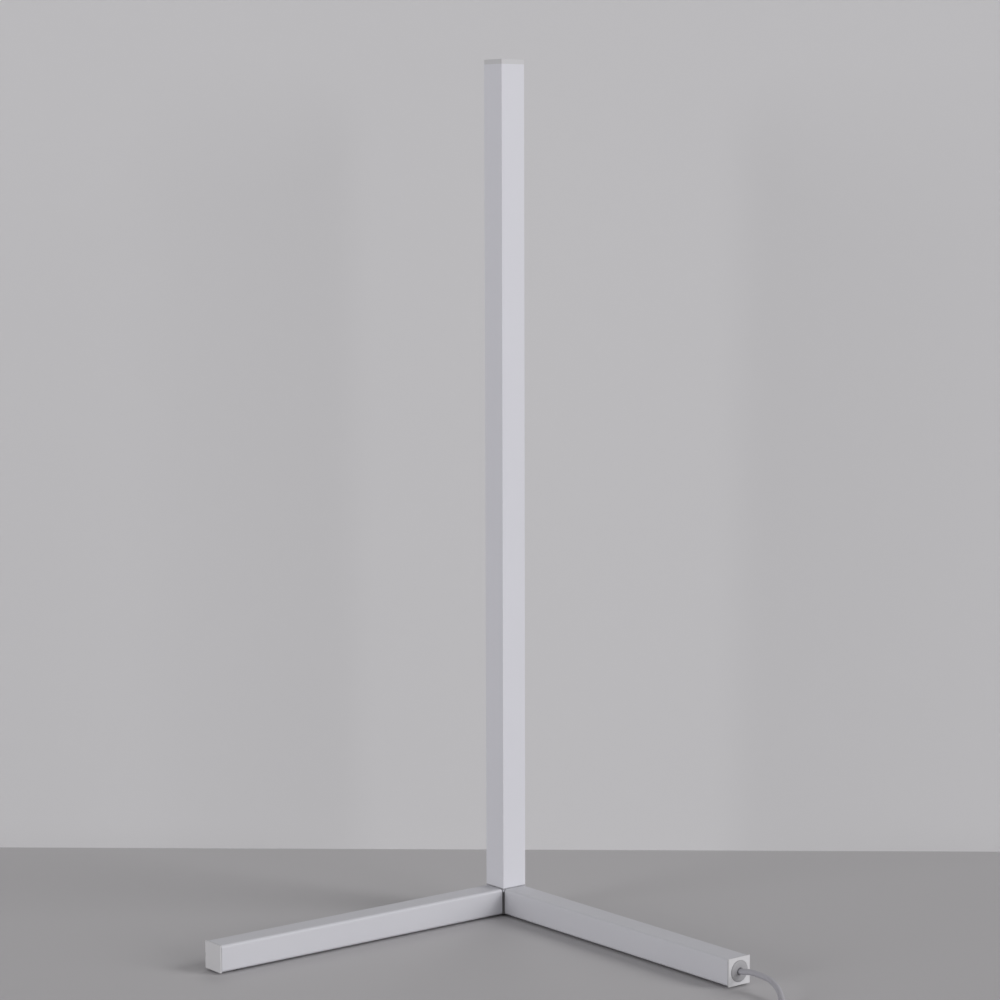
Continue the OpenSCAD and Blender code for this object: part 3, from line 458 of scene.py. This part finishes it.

# %% [markdown]
# ## Painted shade in the joints
# Where two pieces meet, a thin dark line of painted shade stands for the shadow in the
# narrow gap, stronger in some places than in others. It could be a dark strip of its own,
# but then it would stand on the surface. Here a joint is a plane: a direction and a distance
# along it. The group darkens what lies within reach of that plane, and noise breaks up the line.

# %% The painted joint shade group
joint_shade, joint_shade_in, joint_shade_out = new_group(
    "painted_joint_shade",
    [("Colour", "NodeSocketColor", (0.6, 0.6, 0.6, 1)), ("Along", "NodeSocketVector", (0, 0, 1)),
     ("At", "NodeSocketFloat", 0.0), ("Reach", "NodeSocketFloat", 0.0005),
     ("Strength", "NodeSocketFloat", 0.7)],
    [("Colour", "NodeSocketColor")])
joint_shade_place = joint_shade.nodes.new("ShaderNodeTexCoord")
distance_along = joint_shade.nodes.new("ShaderNodeVectorMath")
distance_along.operation = "DOT_PRODUCT"
joint_shade.links.new(joint_shade_place.outputs["Object"], distance_along.inputs[0])
joint_shade.links.new(joint_shade_in.outputs["Along"], distance_along.inputs[1])
patches = joint_shade.nodes.new("ShaderNodeTexNoise")
patches.inputs["Scale"].default_value = 160.0
joint_shade.links.new(joint_shade_place.outputs["Object"], patches.inputs["Vector"])
# A line of painted shade along the joint's plane, broken up by noise.
past_joint = maths(joint_shade, "SUBTRACT", distance_along.outputs["Value"], joint_shade_in.outputs["At"])
away = maths(joint_shade, "DIVIDE", maths(joint_shade, "ABSOLUTE", past_joint, 0), joint_shade_in.outputs["Reach"])
line_mask = maths(joint_shade, "SUBTRACT", 1.3, away, True)
broken = maths(joint_shade, "ADD", maths(joint_shade, "MULTIPLY", patches.outputs["Fac"], 0.9), 0.35, True)
darker = maths(joint_shade, "MULTIPLY", maths(joint_shade, "MULTIPLY", line_mask, broken), joint_shade_in.outputs["Strength"])
kept = maths(joint_shade, "SUBTRACT", 1.0, darker)
joint_shade.links.new(scaled(joint_shade, joint_shade_in.outputs["Colour"], kept), joint_shade_out.inputs["Colour"])
print("group", joint_shade.name, "has", len(joint_shade.nodes), "nodes")

# %% [markdown]
# ## A finish
# Each finish is one Principled shader with its own colour and gloss, fed by the
# groups: the grain makes a bump, the drift moves the tone, and dust dulls the gloss.
# Every material could be wired on its own, but one function keeps them alike and leaves
# only what differs. Finishes of pieces that meet in plain view also take painted shade along their joints.

# %% Make a finish and put it on pieces
def place_group(tree, group, values):
    """A group in a material, with its own constants on its sockets."""
    node = tree.nodes.new("ShaderNodeGroup")
    node.node_tree = group
    for title, value in values.items():
        node.inputs[title].default_value = value
    return node


def finish(name, colour, rough, grain_scale, bump_mm, tone=0.05, dusty=0.25, metal=0.0, coat=0.0,
           sheen=0.5, joints=()):
    """A material with a specular level of sheen; joints are (direction, distance, reach, strength) of lines
    of painted shade.
    """
    made = bpy.data.materials.new(name)
    made.use_nodes = True
    tree = made.node_tree
    shader = tree.nodes["Principled BSDF"]
    texture = place_group(tree, grain, {"Grain Scale": grain_scale})
    dirt = place_group(tree, dust, {"Colour": (*colour, 1), "Tone": tone, "Dust": dusty})
    tree.links.new(texture.outputs["Drift"], dirt.inputs["Drift"])
    layered = dirt.outputs["Colour"]
    # Each joint lays a line of painted shade over the colour.
    for way, at, reach, strength in joints:
        joint = place_group(tree, joint_shade, {"Along": way, "At": at * MM, "Reach": reach * MM,
                                          "Strength": strength})
        tree.links.new(layered, joint.inputs["Colour"])
        layered = joint.outputs["Colour"]
    tree.links.new(layered, shader.inputs["Base Color"])
    gloss = maths(tree, "ADD", maths(tree, "MULTIPLY", dirt.outputs["Mask"], 0.3), rough, True)
    tree.links.new(gloss, shader.inputs["Roughness"])
    bump = tree.nodes.new("ShaderNodeBump")
    bump.name = "bump"
    bump.inputs["Distance"].default_value = bump_mm * MM
    tree.links.new(texture.outputs["Height"], bump.inputs["Height"])
    tree.links.new(bump.outputs["Normal"], shader.inputs["Normal"])
    for title, value in (("Metallic", metal), ("Coat Weight", coat), ("Specular IOR Level", sheen)):
        shader.inputs[title].default_value = value
    return made


def put_on(material, *pieces):
    """Sets the material on solids by name, or on pieces made here."""
    for piece in pieces:
        thing = solids[piece] if isinstance(piece, str) else piece
        if not thing.material_slots:
            thing.data.materials.append(material)
        for material_slot in thing.material_slots:
            material_slot.material = material
    print(material.name, "on", len(pieces), "pieces")


print("finishes can be made from", len((grain, dust, joint_shade)), "groups")

# %% [markdown]
# ## White powder coat
# The bar and the legs are sprayed with powder and baked. Close up the coat is faintly
# pebbled, and it has a soft satin sheen. The bar is aluminium and the legs are steel,
# but both get the same coat; the legs' copy is darker, as painted shade for the weaker
# light near the floor. A plain white shader would look like card, so the pebbles are a
# bump, and the sheen is kept low. Painted shade lines the gaps between the legs and their
# caps, and the bar's foot just above the legs.

# %% Powder coat
CAP_LINE_AT = 1.65  # millimetres from a cap's face to the middle of the gap behind its plate
seam = cap_x - CAP_LINE_AT - COS45 * bar_y
# Lines of painted shade in the gaps behind the legs' end caps and at the bar's foot.
cap_joints = [((x * COS45, -COS45, 0), seam, 0.45, 0.75) for x in (-1, 1)]
foot_joint = [((0, 0, 1), PAD_T + LEG_W, 0.9, 0.7)]


def powder_coat(name, colour, joints):
    return finish(name, colour, 0.5, 650.0, 0.05, tone=0.03, dusty=0.15, sheen=0.35, joints=joints)


put_on(powder_coat("bar_powder_coat", (0.622, 0.62, 0.666), foot_joint), "bar_profile")
# The legs take the bar's coat made darker: painted shade for the weaker light near the floor.
put_on(powder_coat("leg_coat_painted_shade", (0.548, 0.546, 0.583), cap_joints), "leg_left", "leg_right")

# %% [markdown]
# ## Moulded caps and the opal cover
# The caps are matt white plastic, and the one on the bar's top is a shade darker. The
# cover over the lamps is an opal sheet: it is smooth, milky and a little see-through.
# A transparent shader would show the board through it as glass does, so light travels
# under its surface instead, by a little subsurface scattering.

# %% Cap plastic and opal
def cap_plastic(name, level, joints=()):
    colour = (level, 0.99 * level, 1.02 * level)
    return finish(name, colour, 0.5, 1400.0, 0.03, tone=0.02, dusty=0.12, sheen=0.4, joints=joints)


put_on(cap_plastic("top_cap_plastic", 0.53), "top_cap")
put_on(cap_plastic("end_cap_plastic", 0.585, cap_joints), "end_cap_left", "end_cap_right")
opal = finish("opal_cover", (0.78, 0.78, 0.76), 0.32, 300.0, 0.01, tone=0.015, dusty=0.1)
opal_shader = opal.node_tree.nodes["Principled BSDF"]
opal_shader.inputs["Subsurface Weight"].default_value = 0.25
opal_shader.inputs["Subsurface Radius"].default_value = (0.004, 0.004, 0.0035)
put_on(opal, "rear_diffuser")

# %% [markdown]
# ## The corner casting, screws and pads
# The connector between the legs is a die casting with a dark, slightly rough paint. Its
# screws are zinc plated, and the pads under it are soft black rubber. They differ in
# metal, gloss and the size of their grain, so the same function makes all three.

# %% Casting, zinc and rubber
casting = finish("dark_casting", (0.26, 0.255, 0.265), 0.55, 450.0, 0.12, tone=0.2, dusty=0.3)
put_on(casting, "corner_connector")
zinc = finish("zinc_plate", (0.60, 0.61, 0.63), 0.32, 900.0, 0.02, tone=0.12, dusty=0.05, metal=1.0)
put_on(zinc, "bar_screws", "leg_screws", "terminal_screws", "switch_screws")
pad_rubber = finish("pad_rubber", (0.03, 0.03, 0.032), 0.8, 1200.0, 0.05, tone=0.2, dusty=0.3)
put_on(pad_rubber, "pad_left", "pad_right", "pad_corner")

# %% [markdown]
# ## Inside the bar and the leg
# The lamp board is white with a row of small yellow chips. The driver's case and the
# terminal block are plain mouldings, and its circuit board is green. Nobody sees them
# until the lamp is opened, but they get full finishes, because they are real pieces.

# %% Boards, chips and cases
board_mask = finish("white_solder_mask", (0.74, 0.74, 0.72), 0.38, 1500.0, 0.01, tone=0.04, dusty=0.1)
put_on(board_mask, "led_board")
phosphor = finish("lamp_phosphor", (0.80, 0.62, 0.16), 0.45, 2500.0, 0.03, tone=0.15, dusty=0.0, coat=0.3)
put_on(phosphor, "led_chips")
case_plastic = finish("case_plastic", (0.66, 0.66, 0.64), 0.5, 1000.0, 0.04, tone=0.05, dusty=0.15)
put_on(case_plastic, "driver_case", "driver_lid", "terminal_block")
green_board = finish("green_board", (0.03, 0.16, 0.07), 0.4, 1500.0, 0.02, tone=0.3, dusty=0.1)
put_on(green_board, "driver_board")

# %% [markdown]
# ## Cord, bush, switch and plug
# The sheath is soft light grey plastic with a dull sheen, and the bush is a shade
# darker. The switch and plug are harder and have a fine, even grain from their mould.
# The plug's pins are nickel-plated brass. One grey for all would look like a single
# lump, so each gets its own tone, gloss and grain.

# %% Grey plastics and pins
sheath_grey = finish("grey_sheath", (0.35, 0.343, 0.375), 0.5, 800.0, 0.03, tone=0.08, dusty=0.2)
put_on(sheath_grey, mains_cord, supply_end)
bush_grey = finish("bush_grey", (0.325, 0.32, 0.335), 0.55, 900.0, 0.04, tone=0.06, dusty=0.2)
put_on(bush_grey, bush, "switch_rocker")
switch_plastic = finish("switch_plastic", (0.52, 0.52, 0.54), 0.46, 1300.0, 0.05, tone=0.04, dusty=0.2)
put_on(switch_plastic, "switch_base", "switch_cover", "plug_body")
pin_metal = finish("pin_metal", (0.66, 0.63, 0.56), 0.25, 700.0, 0.01, tone=0.1, dusty=0.0, metal=1.0)
put_on(pin_metal, "plug_pins")
for name, colour, wires in (("brown_wire", (0.16, 0.06, 0.025), driver_pair),
                            ("black_wire", (0.02, 0.02, 0.02), lamp_pair)):
    put_on(finish(name, colour, 0.4, 900.0, 0.01, tone=0.1, dusty=0.0), wires)

# %% [markdown]
# ## Woven tape
# The strap is woven: two sets of ribs cross each other. Threads of their own would be
# far too fine to model, so two wave textures at right angles give the ribs, and the
# larger of the two is the height at each point.

# %% Woven tape for the strap
RIB_SCALE = 330.0
tape = finish("woven_tape", (0.028, 0.028, 0.03), 0.85, 1500.0, 0.2, tone=0.3, dusty=0.2)
weave = tape.node_tree
weave_place = weave.nodes.new("ShaderNodeTexCoord")
ribs = []
for direction in ("X", "Y"):
    wave = weave.nodes.new("ShaderNodeTexWave")
    wave.bands_direction = direction
    wave.inputs["Scale"].default_value = RIB_SCALE
    weave.links.new(weave_place.outputs["Object"], wave.inputs["Vector"])
    ribs.append(wave.outputs["Fac"])
weave.links.new(maths(weave, "MAXIMUM", *ribs), weave.nodes["bump"].inputs["Height"])
put_on(tape, strap)

# %% [markdown]
# ## Floor and wall
# The lamp stands on a plain pale floor in front of a plain wall. A curved backdrop would
# hide the line where they meet, but the photograph shows it. The wall shows only from
# the front: seen from behind it is clear, so that the lamp's back can be looked at, and
# it throws neither shadow nor light on the lamp, which the floor does.

# %% Floor and wall
ROOM_HALF, WALL_TOP, WALL_GAP, WALL_TURN = 30, 4, 0.306, math.radians(4.56)


def flat_stage(name, corners, colour, rough):
    mesh = bpy.data.meshes.new(name)
    mesh.from_pydata(corners, [], [(0, 1, 2, 3)])
    made = bpy.data.objects.new(name, mesh)
    bpy.context.collection.objects.link(made)
    paint = bpy.data.materials.new(name)
    paint.use_nodes = True
    shader = paint.node_tree.nodes["Principled BSDF"]
    shader.inputs["Base Color"].default_value = (*colour, 1)
    shader.inputs["Roughness"].default_value = rough
    mesh.materials.append(paint)
    return made


floor_corners = [(x * ROOM_HALF, y * ROOM_HALF, 0) for x, y in ((-1, -1), (1, -1), (1, 1), (-1, 1))]
flat_stage("floor", floor_corners, (0.46, 0.449, 0.461), 0.75)
bar_front = Vector((0, (bar_y - BAR_HALF * math.sqrt(2)) * MM, 0))
wall_foot = bar_front + Vector((-math.sin(WALL_TURN), math.cos(WALL_TURN), 0)) * WALL_GAP
along_wall = Vector((math.cos(WALL_TURN), math.sin(WALL_TURN), 0)) * ROOM_HALF
up_wall = Vector((0, 0, WALL_TOP))
wall_corners = [wall_foot - along_wall, wall_foot + along_wall,
                wall_foot + along_wall + up_wall, wall_foot - along_wall + up_wall]
wall = flat_stage("wall", wall_corners, (0.575, 0.569, 0.583), 0.9)
print("the wall's foot is at", [round(v, 3) for v in wall_foot])

# %% Make the wall one-sided
wall_tree = wall.data.materials[0].node_tree
wall_side = wall_tree.nodes.new("ShaderNodeNewGeometry")
clear = wall_tree.nodes.new("ShaderNodeBsdfTransparent")
by_side = wall_tree.nodes.new("ShaderNodeMixShader")
wall_tree.links.new(wall_side.outputs["Backfacing"], by_side.inputs["Fac"])
wall_tree.links.new(wall_tree.nodes["Principled BSDF"].outputs[0], by_side.inputs[1])
wall_tree.links.new(clear.outputs[0], by_side.inputs[2])
wall_tree.links.new(by_side.outputs[0], wall_tree.nodes["Material Output"].inputs["Surface"])
wall.visible_shadow = False
wall.visible_diffuse = False
print("the wall is clear from behind")

# %% [markdown]
# ## Light
# The room's light is soft and low: it makes upright faces brighter than the legs' tops.
# More of it comes from the right, so the bar's right face is the brightest, and a higher
# light there casts the short shadows where the legs meet. Area lamps can do this too,
# but they leave bright patches on the floor, which show from the sides and the back. So
# each light is a sun with a wide disc, as soft as a large window far away. The light
# behind keeps the back readable, and gives no glare on the tops.

# %% Suns
def soft_sun(name, turned_by, height, strength):
    """Degrees to the right of the front, degrees above the floor, watts a square metre."""
    data = bpy.data.lights.new(name, "SUN")
    data.energy, data.angle = strength, math.radians(25)
    made = bpy.data.objects.new(name, data)
    a, e = math.radians(turned_by), math.radians(height)
    comes_from = Vector((math.sin(a) * math.cos(e), -math.cos(a) * math.cos(e), math.sin(e)))
    made.rotation_euler = (-comes_from).to_track_quat("-Z", "Y").to_euler()
    bpy.context.collection.objects.link(made)
    return made


soft_sun("front_right", 50, 8, 0.93)
soft_sun("front_left", -50, 8, 1.4)
soft_sun("low_right", 75, 14, 0.74)
soft_sun("high_right", 82, 36, 0.8)
back_sun = soft_sun("behind", 180, 42, 0.42)
back_sun.visible_glossy = False

# %% [markdown]
# ## World
# The world only fills the shadows. The camera and reflections see it paler than it
# lights, so that the background behind the room stays pale and metal has something
# bright to mirror, without more light on the lamp.

# %% World
FILL, PALE = 0.24, 0.62
world = bpy.data.worlds.new("room")
bpy.context.scene.world = world
world.use_nodes = True
sky = world.node_tree
rays = sky.nodes.new("ShaderNodeLightPath")
seen = maths(sky, "MAXIMUM", rays.outputs["Is Camera Ray"], rays.outputs["Is Glossy Ray"])
seen = maths(sky, "MAXIMUM", seen, rays.outputs["Is Transmission Ray"])
level = maths(sky, "ADD", maths(sky, "MULTIPLY", seen, PALE - FILL), FILL)
sky.links.new(level, sky.nodes["Background"].inputs["Strength"])
sky.nodes["Background"].inputs["Color"].default_value = (1, 1, 1, 1)
print("a world that fills at", FILL, "and looks", PALE)
